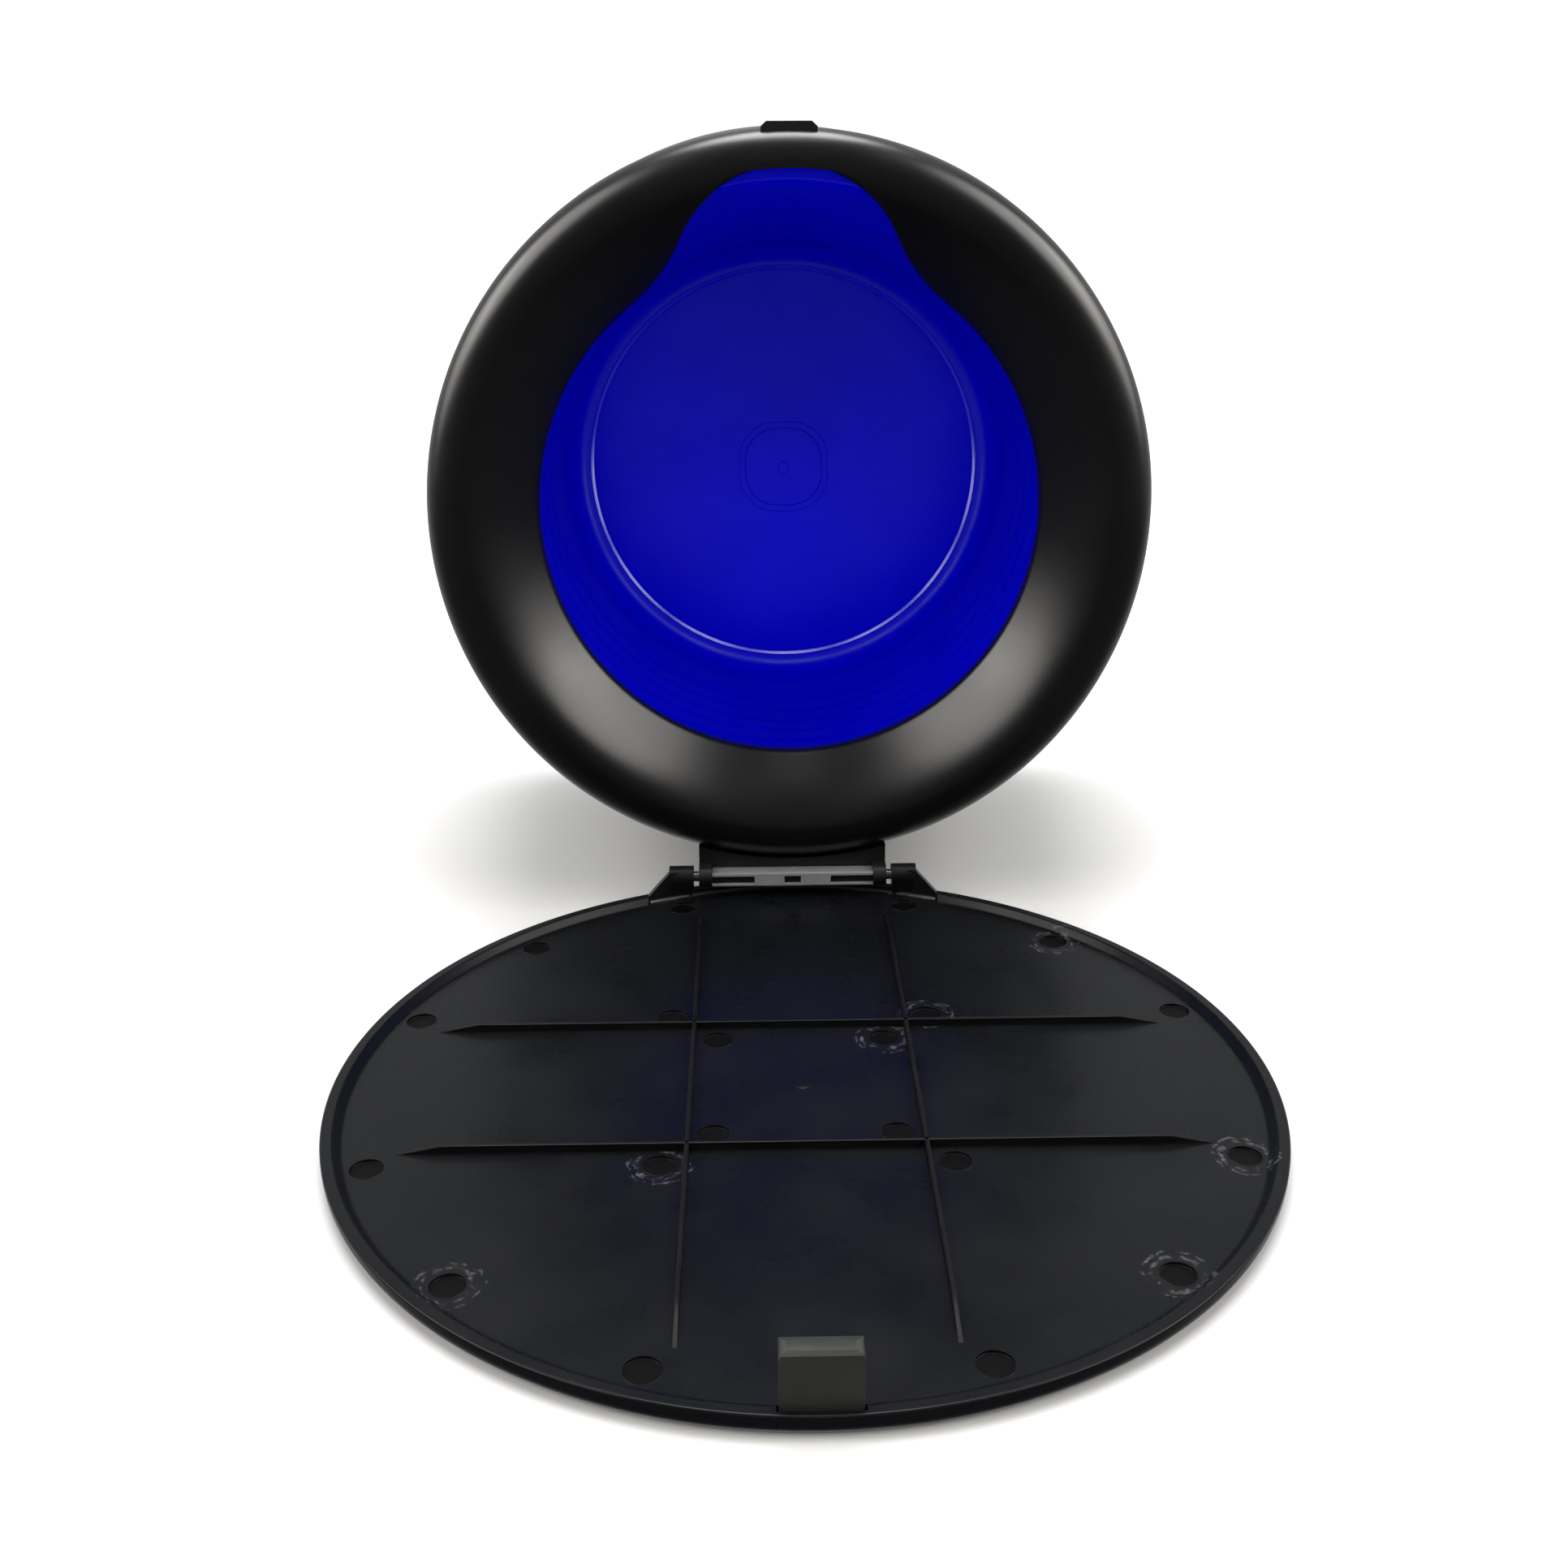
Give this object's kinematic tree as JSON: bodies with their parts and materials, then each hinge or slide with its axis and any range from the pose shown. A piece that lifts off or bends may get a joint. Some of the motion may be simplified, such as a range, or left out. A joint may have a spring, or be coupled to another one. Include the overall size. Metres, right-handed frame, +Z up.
{
  "type": "pill crusher",
  "caption": "Round crushing bowl with a keyhole-mouthed splash collar on a wide shell, hinged to a flat ribbed lid with a snap tongue, shown open.",
  "frame": {"origin": "centre of the lid's underside, on the table", "axes": "+Z up, away from the table; +Y from the latch tongue towards the hinge; X along the hinge"},
  "size_m": [0.18, 0.2822, 0.1755],
  "materials": {
    "lid_black": "satin",
    "bracket_black": "satin",
    "tongue_black": "matte",
    "pin_steel": "bright",
    "collar_black": "satin",
    "seal_rubber": "matte",
    "bowl_blue": "gloss",
    "shell_black": "satin",
    "base_black": "matte",
    "foot_rubber": "matte",
    "arm_black": "satin",
    "bar_grey": "satin",
    "screw_steel": "zinc plated"
  },
  "bodies": {
    "lid": {"lid_plate": "lid_black", "hinge_bracket": "bracket_black", "hinge_pin_left": "pin_steel", "hinge_pin_right": "pin_steel"},
    "latch": {"latch_tongue": "tongue_black"},
    "head": {"splash_collar": "collar_black", "catch_plate": "shell_black", "bowl_seal": "seal_rubber", "crushing_bowl": "bowl_blue", "outer_shell": "shell_black", "base_plate": "base_black", "foot_1": "foot_rubber", "foot_2": "foot_rubber", "foot_3": "foot_rubber", "foot_4": "foot_rubber", "hinge_arm": "arm_black", "hinge_bar": "bar_grey", "arm_screws": "screw_steel", "base_screws": "screw_steel"}
  },
  "joints": [
    {"name": "head_hinge", "type": "hinge", "parent": "lid", "child": "head", "pos_m": [0, 0.0856, 0.0074], "axis": [1, 0, 0], "range_deg": [0, 93.17]},
    {"name": "latch_flex", "type": "hinge", "parent": "lid", "child": "latch", "pos_m": [0, -0.0872, 0.002], "axis": [1, 0, 0], "range_deg": [0, 8], "stiffness_Nm_per_rad": 0.05}
  ]
}
